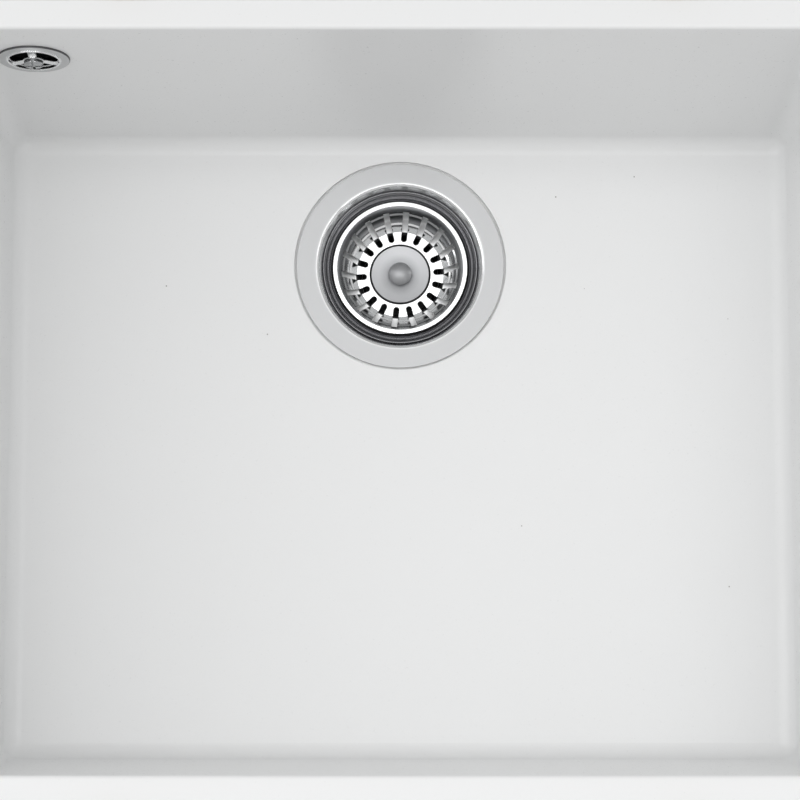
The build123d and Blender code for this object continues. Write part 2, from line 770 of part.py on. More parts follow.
def hose_plane(distance):
    """The plane square to the hose this far along it, with its X axis level throughout."""
    point = hose_wire.position_at(distance, position_mode=PositionMode.LENGTH)
    along = hose_wire.tangent_at(distance, position_mode=PositionMode.LENGTH)
    level = Vector(-along.Y, along.X, 0)
    if level.length < upright:
        level = Vector(1, 0, 0)
    return Plane(origin=point, x_dir=level, z_dir=along)


rib_pitch = (hose_length - 2 * hose_cuff) / hose_rib_count
hose_rings = [
    (0, hose_collar_radius),
    (hose_collar, hose_collar_radius),
    (hose_collar_end, hose_cuff_radius),
]
for rib in range(hose_rib_count):
    rib_start = hose_cuff + rib * rib_pitch
    hose_rings.append((rib_start + hose_rib_rise * rib_pitch, hose_valley_radius))
    hose_rings.append((rib_start + hose_rib_crest * rib_pitch, hose_crest_radius))
    hose_rings.append((rib_start + (1 - hose_rib_crest) * rib_pitch, hose_crest_radius))
    hose_rings.append((rib_start + (1 - hose_rib_rise) * rib_pitch, hose_valley_radius))
hose_rings.append((hose_length - hose_collar_end, hose_cuff_radius))
hose_rings.append((hose_length - hose_collar, hose_collar_radius))
hose_rings.append((hose_length, hose_collar_radius))

with BuildPart() as overflow_hose:
    for distance, ring_radius in hose_rings:
        with BuildSketch(hose_plane(distance)):
            Circle(ring_radius)
    loft(ruled=True)
    with BuildSketch(hose_plane(0)):
        Circle(hose_bore_radius)
    sweep(path=hose_wire, mode=Mode.SUBTRACT)
overflow_hose.part.label = "overflow_hose"
export_step(overflow_hose.part, "parts/overflow_hose.step")
print("overflow hose length", round(hose_length, 1))

for end_name, end_plane in (("upper", upper_end), ("lower", lower_end)):
    with BuildPart() as hose_seal_ring:
        with BuildSketch(end_plane):
            Circle(hose_collar_radius)
            Circle(spigot_bore_radius, mode=Mode.SUBTRACT)
        extrude(amount=hose_seal)
    hose_seal_ring.part.label = "hose_seal_" + end_name
    export_step(hose_seal_ring.part, "parts/hose_seal_" + end_name + ".step")

    with BuildPart() as hose_nut:
        nut_room = hose_nut_grip + hose_seal + hose_collar_end
        with BuildSketch(end_plane.offset(-hose_nut_grip)):
            Circle(hose_nut_radius)
            with PolarLocations(hose_nut_radius, hose_nut_flutes):
                Circle(hose_nut_flute_radius, mode=Mode.SUBTRACT)
        extrude(amount=nut_room + hose_nut_lip)
        with BuildSketch(end_plane.offset(-hose_nut_grip)):
            Circle(spigot_radius)
        extrude(amount=nut_room, mode=Mode.SUBTRACT)
        with BuildSketch(end_plane.offset(-hose_nut_grip)):
            Circle(hose_cuff_radius + hose_nut_gap)
        extrude(amount=nut_room + hose_nut_lip, mode=Mode.SUBTRACT)
    hose_nut.part.label = "hose_nut_" + end_name
    export_step(hose_nut.part, "parts/hose_nut_" + end_name + ".step")

# ---- clips ------------------------------------------------------------------------------------
stud_line = wall_thickness + toe_gap + toe_reach  # from the bowl's opening out to the studs
clip_front = bowl_width / 2 + stud_line
clip_side = bowl_length / 2 + stud_line
clip_places = [  # the stud's place and the direction away from the bowl, in degrees
    (-clip_spacing / 2, -clip_front, -90),
    (clip_spacing / 2, -clip_front, -90),
    (clip_side, 0, 0),
    (clip_spacing / 2, clip_front, 90),
    (-clip_spacing / 2, clip_front, 90),
    (-clip_side, 0, 180),
]
stud_points = [(x, y) for x, y, outward in clip_places]
bracket_top_z = -rim_thickness - clip_gap
bracket_foot_z = bracket_top_z - bracket_thickness
washer_foot_z = bracket_foot_z - clip_gap - washer_thickness
stud_foot_z = washer_foot_z - nut_height - stud_tail

for number, (clip_x, clip_y, outward) in enumerate(clip_places, start=1):
    direction = (cos(radians(outward)), sin(radians(outward)), 0)
    clip_plane = Plane(origin=(clip_x, clip_y, 0), x_dir=direction, z_dir=(0, 0, 1))
    with BuildPart() as clip_bracket:
        with BuildSketch(clip_plane.offset(bracket_foot_z)):
            Circle(toe_reach)
            with Locations((bracket_heel - toe_reach, 0)):
                Rectangle(2 * toe_reach, bracket_width, mode=Mode.INTERSECT)
        extrude(amount=bracket_thickness)
        with BuildSketch(clip_plane.offset(bracket_foot_z)):
            with Locations((bracket_heel - bracket_thickness / 2, 0)):
                Rectangle(bracket_thickness, bracket_width)
        extrude(amount=-clip_gap - bracket_foot_z)
        bend = clip_bracket.edges().filter_by(Plane.XY).group_by(Axis.Z)[0]
        bend = bend.filter_by(GeomType.LINE).sort_by_distance(
            clip_plane.offset(bracket_foot_z).from_local_coords((bracket_heel, 0, 0))
        )[0]
        fillet(bend, radius=bracket_bend)
        with BuildSketch(clip_plane.offset(bracket_foot_z)):
            SlotCenterToCenter(stud_slot, 2 * stud_hole_radius)
        extrude(amount=bracket_thickness, mode=Mode.SUBTRACT)
    clip_bracket.part.label = "clip_bracket_" + str(number)
    export_step(clip_bracket.part, "parts/clip_bracket_" + str(number) + ".step")

with BuildPart() as clip_studs:
    with BuildSketch(Plane.XY.offset(stud_foot_z)):
        with Locations(*stud_points):
            Circle(stud_radius)
    extrude(amount=anchor_thread - stud_foot_z)
clip_studs.part.label = "clip_studs"
export_step(clip_studs.part, "parts/clip_studs.step")

with BuildPart() as clip_anchors:
    with BuildSketch(Plane.XY):
        with Locations(*stud_points):
            Circle(anchor_radius)
    extrude(amount=anchor_length)
    with BuildSketch(Plane.XY):
        with Locations(*stud_points):
            Circle(stud_radius)
    extrude(amount=anchor_thread, mode=Mode.SUBTRACT)
clip_anchors.part.label = "clip_anchors"
export_step(clip_anchors.part, "parts/clip_anchors.step")

with BuildPart() as clip_washers:
    with BuildSketch(Plane.XY.offset(washer_foot_z)):
        with Locations(*stud_points):
            Circle(washer_radius)
            Circle(stud_radius, mode=Mode.SUBTRACT)
    extrude(amount=washer_thickness)
clip_washers.part.label = "clip_washers"
export_step(clip_washers.part, "parts/clip_washers.step")

with BuildPart() as clip_wing_nuts:
    with BuildSketch(Plane.XY.offset(washer_foot_z)):
        with Locations(*stud_points):
            Circle(nut_radius)
    extrude(amount=-nut_height, taper=nut_draft)
    for stud_x, stud_y in stud_points:
        wing_plane = Plane(
            origin=(stud_x, stud_y, washer_foot_z), x_dir=(1, 0, 0), z_dir=(0, -1, 0)
        )
        with BuildSketch(wing_plane):
            for side in (-1, 1):
                with BuildLine():
                    FilletPolyline(
                        (side * stud_radius, -wing_thickness / 2),
                        (side * nut_radius, -wing_thickness / 2),
                        (side * wing_span, -wing_thickness),
                        (side * wing_span, -wing_height),
                        (side * wing_lug, -wing_height),
                        (side * stud_radius, -nut_height),
                        close=True,
                        radius=[0, 0, wing_edge, wing_edge, wing_edge, 0],
                    )
                make_face()
        extrude(amount=wing_thickness / 2, both=True)
    with BuildSketch(Plane.XY.offset(washer_foot_z)):
        with Locations(*stud_points):
            Circle(stud_radius)
    extrude(amount=-wing_height, mode=Mode.SUBTRACT)
clip_wing_nuts.part.label = "clip_wing_nuts"
export_step(clip_wing_nuts.part, "parts/clip_wing_nuts.step")
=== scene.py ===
"""The undermount sink's looks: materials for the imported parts, the hose, the screw threads, the
light and the camera. Metres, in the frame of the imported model: the origin is the middle of the
bowl's opening, +Y runs to the rear wall and +Z up."""

import json
import math

import bmesh
import bpy
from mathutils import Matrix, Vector


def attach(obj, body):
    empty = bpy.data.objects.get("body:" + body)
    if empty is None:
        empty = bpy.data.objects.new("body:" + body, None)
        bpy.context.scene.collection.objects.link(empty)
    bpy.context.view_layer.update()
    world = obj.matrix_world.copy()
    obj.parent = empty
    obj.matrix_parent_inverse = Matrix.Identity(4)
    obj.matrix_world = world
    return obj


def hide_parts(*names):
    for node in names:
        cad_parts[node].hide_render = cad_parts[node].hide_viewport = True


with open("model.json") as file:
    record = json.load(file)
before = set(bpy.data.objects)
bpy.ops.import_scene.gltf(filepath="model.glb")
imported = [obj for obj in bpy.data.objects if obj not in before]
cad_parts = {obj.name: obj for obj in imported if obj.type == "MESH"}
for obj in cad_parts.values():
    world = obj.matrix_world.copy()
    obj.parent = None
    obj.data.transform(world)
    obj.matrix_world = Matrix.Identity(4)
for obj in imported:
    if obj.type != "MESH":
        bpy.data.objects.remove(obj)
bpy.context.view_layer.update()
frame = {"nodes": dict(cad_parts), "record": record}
nodes = frame["nodes"]

# ---- the hose ---------------------------------------------------------------------------------
hose_route = [  # down behind the bowl, forward under it and across to the waste
    (-0.2033, 0.2227, -0.0858),
    (-0.2033, 0.2227, -0.228),
    (-0.2033, 0.1095, -0.228),
    (-0.080, 0.1095, -0.228),
]
# how far from the hose's end: the collar's edge and foot, the plain cuff's end and the first rib
hose_collar = 0.002
hose_collar_foot = 0.003
hose_plain = 0.02112
hose_cuff = 0.022
hose_collar_radius = 0.0116
hose_cuff_radius = 0.0102
hose_valley_radius = 0.0093
hose_crest_radius = 0.011
hose_bore_radius = 0.0082
hose_ribs = 40
hose_steps_per_rib = 8
hose_rib_power = 0.7  # below 1, a rib is broader than the valley beside it
hose_sides = 48
level_least = 0.001  # a direction with less than this across it counts as upright

# ---- the screw threads ------------------------------------------------------------------------
outlet_top = -0.262
outlet_foot = -0.285
outlet_thread_radius = 0.0239
outlet_pitch = 0.0030
outlet_rise = 0.0006
spout_radius = 0.012
spout_pitch = 0.002
spout_rise = 0.0004
spout_thread_top = -0.0662
spout_nut_top = -0.0738
inlet_thread_start = -0.0482
inlet_nut_end = -0.068
inlet_z = -0.228
stud_radius = 0.003
stud_pitch = 0.001
stud_rise = 0.0002
stud_foot = -0.0273
stud_nut_foot = -0.0224
stud_places = [
    (-0.15, -0.2305),
    (0.15, -0.2305),
    (0.2765, 0),
    (0.15, 0.2305),
    (-0.15, 0.2305),
    (-0.2765, 0),
]
ridge_foot = 0.42  # share of the pitch from the ridge's middle to its foot
ridge_crest = 0.1  # and to the edge of its flat crest

# ---- zones of the materials -------------------------------------------------------------------
waste_at = (0.0, 0.10951, 0.0)
overflow_at = (-0.2033, 0.19678, -0.046)
overflow_towards = (0.0, 0.99756, -0.06976)  # into the rear wall
up_axis = (0, 0, 1)
right_axis = (1, 0, 0)

# rings round the waste's axis: inner and outer radius, and how soft both ends are
funnel = (0.0393, 0.0478, 0.0006)  # the cup's turned wall: its turned lines in a painted dark reflection
cup_shelf = (0.0236, 0.0272, 0.0003)  # painted shade, under the basket's floor
cup_wall = (0.0272, 0.0385, 0.0003)  # satin, round the basket
ledge_shade = (0.0398, 0.0417, 0.0003)  # painted shade in the gap round the basket's rim
basket_shade = (0.0325, 0.0374, 0.0008)  # painted shade on the steep wall below the basket's rim
cap_gap = (0.0176, 0.0187, 0.0002)  # painted shade in the gap round the cap

# radii from the waste's axis between which one finish turns into the next: the flange's matt
# finish, and the cap's painted shade round the knob and at its edge
flange_matt = (0.0495, 0.0515)
cap_round_knob = (0.0069, 0.0130)
cap_edge = (0.0174, 0.0176)

# the same round the overflow's axis, and depths behind the wall's face: the rosette's matt plate,
# then painted shade at its edge and back, in the wall's hole and inside the housing
rosette_matt = (0.0151, 0.0155)
rosette_edge = (0.0196, 0.0198)
rosette_back_depth = (0.0003, 0.0006)
hole_side = (0.0151, 0.0153)
hole_depth = (0.0, 0.0004)
housing_side = (0.0150, 0.0152)
housing_depth = (0.0383, 0.0385)

deep_shade = (0.015, 0.015, 0.016)  # painted shade: the colour painted where hardly any light comes
turned_line = 0.0011  # from one turned line of the funnel to the next

speck_cells = 40.0  # cells per metre, each with at most one speck
speck_bare = 0.35  # share of the cells that have none
speck_size = 0.022  # radius, as a share of a cell
speck_core = 0.6  # share of this radius that is fully dark

# ---- grain of the materials -------------------------------------------------------------------
polished_grain = (900.0, 0.05)  # scale of the turned rings and strength of their bump
rosette_grain = (900.0, 0.03)
satin_grain = (1600.0, 0.08)
fine_bump = 0.00005
coarse_bump = 0.0001
sheet_edge = 0.0003  # radius that broken edges seem to have
rosette_edge_radius = 0.0005
cast_edge = 0.0004
noise_middle = (0.3, 0.7)  # most of a noise's values lie between these
smear_middle = (0.1, 0.6)  # and most of the steel's, where two patterns are multiplied

# ---- camera, fitted to the rim, the floor's edges, the drain and the overflow -----------------
camera_place = (-0.0001, -0.2242, 1.4256)
camera_pitch = 6.83  # degrees, forward of straight down
camera_lens = 122.55
camera_shift = 0.12
camera_reach = 50

# ---- floor, and two long soft strips overhead, from left to right, in a pale room -------------
floor_level = -0.286  # just below the waste's outlet
floor_reach = 30.0  # no view comes to its edge
light_around = 0.69
light_strips = [(5.3, -0.05, 0.10), (1.45, 0.16, 0.12)]  # strength, lean to the rear, half width
light_towards = (-0.28, 0.0, 1.0)  # the strips fade out away from this direction
light_fade = (0.665, 0.80)  # cosines to it: gone at the first, full at the second


# ---- nodes of a material ----------------------------------------------------------------------
def new_material(name, color, roughness, metallic=0.0):
    """A Principled material with its plain values set, and its node tree to build on."""
    made = bpy.data.materials.new(name)
    made.use_nodes = True
    shader = shader_of(made)
    shader.inputs["Base Color"].default_value = (*color, 1)
    shader.inputs["Roughness"].default_value = roughness
    shader.inputs["Metallic"].default_value = metallic
    return made


def shader_of(made):
    return made.node_tree.nodes["Principled BSDF"]


def add_node(made, kind, **values):
    """A node with its sockets set: names with spaces are written with underscores."""
    node = made.node_tree.nodes.new(kind)
    for key, value in values.items():
        name = key.replace("_", " ")
        if name in node.inputs:
            node.inputs[name].default_value = value
        else:
            setattr(node, key, value)
    return node


def join(made, source, target):
    made.node_tree.links.new(source, target)


def feed(made, socket, value):
    """Sets an input from another node's output or from a plain value."""
    if isinstance(value, bpy.types.NodeSocket):
        join(made, value, socket)
    else:
        socket.default_value = value


def chain_math(made, operation, *values):
    """One Math node; each value is a socket or a number."""
    node = add_node(made, "ShaderNodeMath", operation=operation)
    for socket, value in zip(node.inputs, values):
        feed(made, socket, value)
    return node.outputs[0]


def vector_math(made, operation, *values):
    """The outputs of one Vector Math node; each value is a socket or three numbers."""
    node = add_node(made, "ShaderNodeVectorMath", operation=operation)
    for socket, value in zip(node.inputs, values):
        feed(made, socket, value)
    return node.outputs


def place(made):
    """Coordinates fixed to the object, in metres."""
    return add_node(made, "ShaderNodeTexCoord").outputs["Object"]


def noise(made, scale, detail=3.0):
    node = add_node(made, "ShaderNodeTexNoise", Scale=scale, Detail=detail, Roughness=0.55)
    join(made, place(made), node.inputs["Vector"])
    return node.outputs["Fac"]


def ramp(made, value, low, high, start=0.0, end=1.0):
    """From low to high as the value goes from start to end."""
    node = add_node(
        made, "ShaderNodeMapRange", From_Min=start, From_Max=end, To_Min=low, To_Max=high
    )
    join(made, value, node.inputs["Value"])
    return node.outputs["Result"]


def smooth_ramp(made, value, low, high, start, end):
    """The same, without a kink at either end."""
    result = ramp(made, value, low, high, start, end)
    result.node.interpolation_type = "SMOOTHSTEP"
    return result


def rise(made, value, span):
    """0 before the span, 1 after it."""
    return ramp(made, value, 0, 1, *span)


def fall(made, value, span):
    """1 before the span, 0 after it."""
    return ramp(made, value, 1, 0, *span)


def between(made, value, start, end, blur):
    """1 where the value lies from start to end, 0 outside, with soft ends."""
    enter = rise(made, value, (start - blur, start + blur))
    leave = fall(made, value, (end - blur, end + blur))
    return chain_math(made, "MULTIPLY", enter, leave)


def off_axis(made, through, along):
    """Distance in metres from the line through this point in this direction, of length 1."""
    out = vector_math(made, "SUBTRACT", place(made), through)["Vector"]
    across = vector_math(made, "CROSS_PRODUCT", out, along)["Vector"]
    return vector_math(made, "LENGTH", across)["Value"]


def depth_along(made, start, along):
    """Distance in metres from this point, measured in this direction, of length 1."""
    out = vector_math(made, "SUBTRACT", place(made), start)["Vector"]
    return vector_math(made, "DOT_PRODUCT", out, along)["Value"]


def mix_color(made, share, first, second):
    """From the first colour at 0 to the second at 1; each is a socket or three numbers."""
    node = add_node(made, "ShaderNodeMix", data_type="RGBA")
    sockets = [s for s in node.inputs if s.type == "RGBA"]
    for socket, value in zip(sockets, (first, second)):
        feed(made, socket, (*value, 1) if isinstance(value, tuple) else value)
    join(made, share, node.inputs["Factor"])
    return [s for s in node.outputs if s.type == "RGBA"][0]


def mix_zone(made, zone, color, roughness):
    """Where zone is 1, the material takes this colour and roughness instead of its own."""
    shader = shader_of(made)
    before = shader.inputs["Base Color"]
    own = before.links[0].from_socket if before.is_linked else tuple(before.default_value)[:3]
    join(made, mix_color(made, zone, own, color), before)
    rough = shader.inputs["Roughness"].links[0].from_socket
    kept = chain_math(made, "MULTIPLY", rough, chain_math(made, "SUBTRACT", 1.0, zone))
    given = chain_math(made, "MULTIPLY", zone, roughness)
    join(made, chain_math(made, "ADD", kept, given), shader.inputs["Roughness"])


def bump(made, height, strength, distance):
    node = add_node(made, "ShaderNodeBump", Strength=strength, Distance=distance)
    join(made, height, node.inputs["Height"])
    join(made, node.outputs["Normal"], shader_of(made).inputs["Normal"])
    return node


def rounded_edges(made, radius):
    """Edges catch the light as if they were broken by this radius."""
    return add_node(made, "ShaderNodeBevel", samples=6, Radius=radius).outputs["Normal"]


# ---- materials --------------------------------------------------------------------------------
def composite_white():
    """Cast stone composite: satin white with a faint fine grain and a few dark specks, with
    painted shade in the overflow's hole."""
    made = new_material("composite_white", (0.84, 0.845, 0.845), 0.3)
    shader = shader_of(made)
    grain = noise(made, scale=700.0, detail=2.0)
    tone = mix_color(made, grain, (0.836, 0.841, 0.841), (0.845, 0.849, 0.849))
    cells = add_node(made, "ShaderNodeTexVoronoi", Scale=speck_cells, Randomness=1.0)
    join(made, place(made), cells.inputs["Vector"])
    dot = fall(made, cells.outputs["Distance"], (speck_core * speck_size, speck_size))
    drawn = add_node(made, "ShaderNodeSeparateColor")
    join(made, cells.outputs["Color"], drawn.inputs[0])
    chosen = chain_math(made, "GREATER_THAN", drawn.outputs[0], speck_bare)
    speck = chain_math(made, "MULTIPLY", chosen, dot)
    speckled = mix_color(made, speck, tone, (0.33, 0.32, 0.31))
    join(made, speckled, shader.inputs["Base Color"])
    join(made, ramp(made, grain, 0.265, 0.295), shader.inputs["Roughness"])
    # painted shade inside the overflow's hole in the wall
    near = fall(made, off_axis(made, overflow_at, overflow_towards), hole_side)
    deep = rise(made, depth_along(made, overflow_at, overflow_towards), hole_depth)
    mix_zone(made, chain_math(made, "MULTIPLY", near, deep), deep_shade, roughness=0.6)
    bump(made, noise(made, scale=900.0, detail=2.0), 0.01, fine_bump)
    return made


def steel(name, color, low, high, grain, edge=sheet_edge):
    """Steel of this range of roughness, with a fine grain turned round the waste's axis."""
    made = new_material(name, color, (low + high) / 2, metallic=1.0)
    mapping = add_node(made, "ShaderNodeMapping", Location=[-c for c in waste_at])
    join(made, place(made), mapping.inputs["Vector"])
    scale, strength = grain
    rings = add_node(
        made,
        "ShaderNodeTexWave",
        wave_type="RINGS",
        rings_direction="Z",
        Scale=scale,
        Distortion=2.0,
        Detail=4.0,
    )
    join(made, mapping.outputs["Vector"], rings.inputs["Vector"])
    streaks = noise(made, scale=120.0, detail=4.0)
    smear = chain_math(made, "MULTIPLY", rings.outputs["Fac"], streaks)
    rough = ramp(made, smear, low, high, *smear_middle)
    join(made, rough, shader_of(made).inputs["Roughness"])
    skin = bump(made, rings.outputs["Fac"], strength, fine_bump)
    join(made, rounded_edges(made, edge), skin.inputs["Normal"])
    return made


def cup_steel():
    """The strainer's cup: a satin flange, a funnel in a painted dark reflection with turned lines,
    painted shade on the ledge and shelf, and a satin wall between them."""
    made = steel("cup_steel", (0.80, 0.805, 0.81), 0.08, 0.16, polished_grain)
    radius = off_axis(made, waste_at, up_axis)
    turns = chain_math(made, "MULTIPLY", radius, 2 * math.pi / turned_line)
    lines = ramp(made, chain_math(made, "SINE", turns), 0, 1, -1, 1)
    turned_lines_painted_dark = mix_color(made, lines, (0.10, 0.10, 0.105), (0.30, 0.30, 0.31))
    # painted dark reflection on the funnel, with the turned lines in it
    mix_zone(made, between(made, radius, *funnel), turned_lines_painted_dark, roughness=0.22)
    # painted shade in the gap round the basket's rim
    mix_zone(made, between(made, radius, *ledge_shade), deep_shade, roughness=0.4)
    # painted shade on the shelf under the basket's floor
    mix_zone(made, between(made, radius, *cup_shelf), (0.02, 0.02, 0.021), roughness=0.5)
    mix_zone(made, between(made, radius, *cup_wall), (0.88, 0.885, 0.89), roughness=0.45)
    mix_zone(made, rise(made, radius, flange_matt), (0.56, 0.565, 0.57), roughness=0.52)
    return made


def rosette_steel():
    """The overflow's grille: a satin plate with painted shade at its edge and back, and a polished
    ring and spokes inside it."""
    made = steel(
        "rosette_steel", (0.88, 0.885, 0.89), 0.12, 0.2, rosette_grain, edge=rosette_edge_radius
    )
    radius = off_axis(made, overflow_at, overflow_towards)
    depth = depth_along(made, overflow_at, overflow_towards)
    mix_zone(made, rise(made, radius, rosette_matt), (0.60, 0.605, 0.61), roughness=0.40)
    # painted shadow round the plate's outer edge
    mix_zone(made, rise(made, radius, rosette_edge), (0.12, 0.12, 0.125), roughness=0.5)
    # painted shade on the collar behind the plate
    mix_zone(made, rise(made, depth, rosette_back_depth), deep_shade, roughness=0.6)
    return made


def basket_steel():
    """The basket: polished, with painted shade on its steep wall and in the gap round the cap."""
    made = steel("basket_steel", (0.86, 0.865, 0.87), 0.08, 0.15, polished_grain)
    radius = off_axis(made, waste_at, up_axis)
    # painted shade on the steep wall below the rim
    mix_zone(made, between(made, radius, *basket_shade), (0.30, 0.305, 0.31), roughness=0.14)
    # painted shade in the gap round the cap
    mix_zone(made, between(made, radius, *cap_gap), deep_shade, roughness=0.4)
    return made


def cap_steel():
    """The cap: satin, with painted shade round the knob and at its edge."""
    made = steel("cap_steel", (0.43, 0.435, 0.445), 0.36, 0.44, satin_grain)
    radius = off_axis(made, waste_at, up_axis)
    # painted shade round the knob
    mix_zone(made, fall(made, radius, cap_round_knob), (0.31, 0.315, 0.325), roughness=0.42)
    # painted shade at the cap's edge
    mix_zone(made, rise(made, radius, cap_edge), (0.05, 0.05, 0.052), roughness=0.4)
    return made


def zinc_steel():
    """Zinc-plated pressing: a pale crystalline bloom."""
    made = new_material("zinc_steel", (0.62, 0.62, 0.6), 0.38, metallic=1.0)
    shader = shader_of(made)
    flakes = add_node(made, "ShaderNodeTexVoronoi", Scale=420.0)
    join(made, place(made), flakes.inputs["Vector"])
    tint = mix_color(made, flakes.outputs["Color"], (0.56, 0.57, 0.56), (0.70, 0.69, 0.66))
    join(made, tint, shader.inputs["Base Color"])
    rough = ramp(made, noise(made, scale=200.0), 0.3, 0.46, *noise_middle)
    join(made, rough, shader.inputs["Roughness"])
    bloom = bump(made, noise(made, scale=700.0), 0.08, coarse_bump)
    join(made, rounded_edges(made, cast_edge), bloom.inputs["Normal"])
    return made


def brass():
    """Turned brass, a little dull."""
    made = new_material("brass", (0.76, 0.55, 0.24), 0.28, metallic=1.0)
    shader = shader_of(made)
    tint = mix_color(made, noise(made, scale=180.0), (0.66, 0.46, 0.19), (0.80, 0.60, 0.29))
    join(made, tint, shader.inputs["Base Color"])
    rough = ramp(made, noise(made, scale=350.0), 0.2, 0.38, *noise_middle)
    join(made, rough, shader.inputs["Roughness"])
    join(made, rounded_edges(made, sheet_edge), shader.inputs["Normal"])
    return made


def moulded(name, color, darker, low, high):
    """Plastic or rubber of this range of roughness: a faint cloudiness and a fine grain."""
    made = new_material(name, color, (low + high) / 2)
    shader = shader_of(made)
    tint = mix_color(made, noise(made, scale=40.0), darker, color)
    join(made, tint, shader.inputs["Base Color"])
    rough = ramp(made, noise(made, scale=250.0), low, high, *noise_middle)
    join(made, rough, shader.inputs["Roughness"])
    skin = bump(made, noise(made, scale=1500.0), 0.15, coarse_bump)
    join(made, rounded_edges(made, cast_edge), skin.inputs["Normal"])
    return made


def white_moulded(name):
    return moulded(name, (0.72, 0.72, 0.70), (0.67, 0.67, 0.645), 0.34, 0.46)


def housing_plastic():
    """The overflow's housing: white outside, with painted shade where the water goes."""
    made = white_moulded("housing_plastic")
    # painted shade inside the housing's passage
    near = fall(made, off_axis(made, overflow_at, overflow_towards), housing_side)
    shallow = fall(made, depth_along(made, overflow_at, overflow_towards), housing_depth)
    mix_zone(made, chain_math(made, "MULTIPLY", near, shallow), deep_shade, roughness=0.6)
    return made


black = (0.022, 0.022, 0.023)
darker_black = (0.014, 0.014, 0.015)
grey = (0.33, 0.34, 0.35)
darker_grey = (0.28, 0.29, 0.30)
finishes = {
    "composite_white": composite_white(),
    "polished_steel": steel("polished_steel", (0.86, 0.865, 0.87), 0.08, 0.15, polished_grain),
    "satin_steel": steel("satin_steel", (0.45, 0.455, 0.465), 0.36, 0.44, satin_grain),
    "zinc_steel": zinc_steel(),
    "brass": brass(),
    "black_rubber": moulded("black_rubber", black, darker_black, 0.5, 0.68),
    "white_plastic": white_moulded("white_plastic"),
    "grey_plastic": moulded("grey_plastic", grey, darker_grey, 0.36, 0.5),
}
own_finishes = {
    "strainer_cup": cup_steel(),
    "strainer_basket": basket_steel(),
    "basket_cap": cap_steel(),
    "lift_knob": steel("knob_steel", (0.43, 0.435, 0.445), 0.46, 0.54, satin_grain),
    "overflow_rosette": rosette_steel(),
    "overflow_screw": steel("screw_steel", (0.45, 0.455, 0.465), 0.10, 0.18, polished_grain),
    "overflow_elbow": housing_plastic(),
}

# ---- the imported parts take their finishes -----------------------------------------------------
for entry in frame["record"]["subparts"]:
    held = nodes[entry["node"]]
    held.data.materials.clear()
    held.data.materials.append(own_finishes.get(entry["node"], finishes[entry["material_slot"]]))


# ---- shapes -----------------------------------------------------------------------------------
def level_frame(direction):
    """Two directions square to this one, the first of them level."""
    level = Vector((-direction.y, direction.x, 0))
    level = level.normalized() if level.length > level_least else Vector(right_axis)
    return level, direction.cross(level)


def finished_piece(name, built):
    """The object that this bmesh makes, with all its faces turned outwards."""
    bmesh.ops.recalc_face_normals(built, faces=built.faces)
    mesh = bpy.data.meshes.new(name)
    built.to_mesh(mesh)
    built.free()
    piece = bpy.data.objects.new(name, mesh)
    bpy.context.collection.objects.link(piece)
    return piece


# ---- overflow hose ----------------------------------------------------------------------------
def spline_points(route, steps=48):
    """Points along the smooth line that a cord with these control points follows."""
    line = bpy.data.curves.new("route", "CURVE")
    line.dimensions = "3D"
    line.resolution_u = steps
    spline = line.splines.new("NURBS")
    spline.points.add(len(route) - 1)
    for point, at in zip(spline.points, route):
        point.co = (*at, 1)
    spline.order_u = 3
    spline.use_endpoint_u = True
    holder = bpy.data.objects.new("route", line)
    read = bpy.data.meshes.new_from_object(holder)
    points = [v.co.copy() for v in read.vertices]
    bpy.data.objects.remove(holder)
    bpy.data.meshes.remove(read)
    return points


def travelled(points):
    """How far along the line each of its points is."""
    so_far = [0.0]
    for a, b in zip(points, points[1:]):
        so_far.append(so_far[-1] + (b - a).length)
    return so_far


def at_distance(points, so_far, distance):
    """The point and the direction this far along the line."""
    distance = min(max(distance, 0.0), so_far[-1])
    step = max(i for i, done in enumerate(so_far[:-1]) if done <= distance)
    a, b = points[step], points[step + 1]
    share = (distance - so_far[step]) / (so_far[step + 1] - so_far[step])
    return a.lerp(b, share), (b - a).normalized()


def hose_profile(length):
    """Distance and outer radius of each ring: collar, plain cuff, rounded ribs, cuff, collar."""
    end = [
        (0.0, hose_collar_radius),
        (hose_collar, hose_collar_radius),
        (hose_collar_foot, hose_cuff_radius),
        (hose_plain, hose_cuff_radius),
    ]
    ribs = []
    ribbed = length - 2 * hose_cuff
    count = hose_ribs * hose_steps_per_rib
    for step in range(count + 1):
        wave = 0.5 - 0.5 * math.cos(2 * math.pi * step / hose_steps_per_rib)
        proud = wave**hose_rib_power * (hose_crest_radius - hose_valley_radius)
        ribs.append((hose_cuff + ribbed * step / count, hose_valley_radius + proud))
    return end + ribs + [(length - distance, radius) for distance, radius in reversed(end)]


def tube(name, rings, bore, sides):
    """A closed tube with a round bore: each ring has its centre, direction and outer radius."""
    built = bmesh.new()
    loops = []
    inside = [(centre, direction, bore) for centre, direction, _ in reversed(rings)]
    for centre, direction, radius in rings + inside:
        level, up = level_frame(direction)
        loop = []
        for side in range(sides):
            angle = 2 * math.pi * side / sides
            out = math.cos(angle) * level + math.sin(angle) * up
            loop.append(built.verts.new(centre + radius * out))
        loops.append(loop)
    for a, b in zip(loops, loops[1:] + loops[:1]):
        for side in range(sides):
            after = (side + 1) % sides
            built.faces.new((a[side], a[after], b[after], b[side]))
    piece = finished_piece(name, built)
    piece.data.polygons.foreach_set("use_smooth", [True] * len(piece.data.polygons))
    return piece


hose_line = spline_points(hose_route)
hose_so_far = travelled(hose_line)
hose_rings = []
for distance, radius in hose_profile(hose_so_far[-1]):
    centre, direction = at_distance(hose_line, hose_so_far, distance)
    hose_rings.append((centre, direction, radius))
hose = tube("overflow_hose_ribbed", hose_rings, hose_bore_radius, hose_sides)
hose.data.materials.append(finishes["grey_plastic"])
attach(hose, "sink")
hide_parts("overflow_hose")


